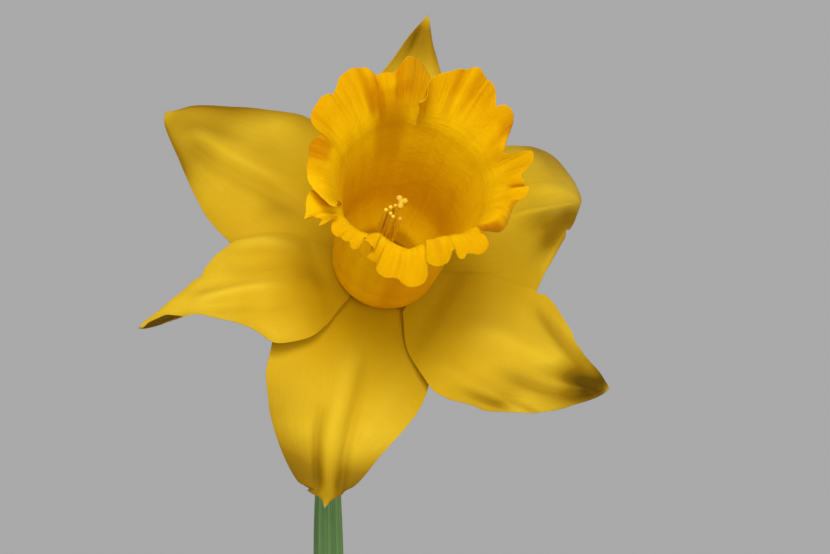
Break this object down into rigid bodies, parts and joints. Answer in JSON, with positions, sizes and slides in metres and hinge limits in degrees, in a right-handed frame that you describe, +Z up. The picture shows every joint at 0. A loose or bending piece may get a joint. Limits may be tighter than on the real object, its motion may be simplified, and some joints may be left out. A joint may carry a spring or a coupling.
{
  "type": "potted narcissus",
  "caption": "Trumpet daffodil in flower with strap leaves, growing from its bulb in a plain clay pot; stands on any flat surface as a spring display.",
  "frame": {"origin": "middle of the pot's flat foot, on the surface that it stands on", "axes": "+Z up along the pot's axis; the bloom looks towards -Y and a little up; +X is to the right of a viewer in front of it"},
  "size_m": [0.13, 0.1415, 0.4403],
  "materials": {
    "clay": "matt unglazed clay",
    "compost": "moist crumbly compost",
    "tunic": "dry papery skin",
    "sheath": "thin pale membrane",
    "leaf": "waxy blue-green",
    "stem": "waxy green",
    "spathe": "dry translucent paper",
    "floral_tube": "satin",
    "tepal": "satin petal",
    "corona": "satin petal, frilled",
    "anther": "powdery",
    "stigma": "moist"
  },
  "bodies": {
    "root": {"pot": "clay", "soil": "compost", "bulb": "tunic", "sheath_main": "sheath", "sheath_side": "sheath", "scape": "stem", "spathe": "spathe", "floral_tube": "floral_tube", "corona": "corona", "pistil": "stigma", "leaf_main_1": "leaf", "leaf_main_2": "leaf", "leaf_main_3": "leaf", "leaf_main_4": "leaf", "leaf_side_1": "leaf", "leaf_side_2": "leaf", "leaf_side_3": "leaf", "tepal_bottom": "tepal", "tepal_lower_right": "tepal", "tepal_upper_right": "tepal", "tepal_top": "tepal", "tepal_upper_left": "tepal", "tepal_lower_left": "tepal", "stamen_1": "anther", "stamen_2": "anther", "stamen_3": "anther", "stamen_4": "anther", "stamen_5": "anther", "stamen_6": "anther"}
  },
  "joints": []
}
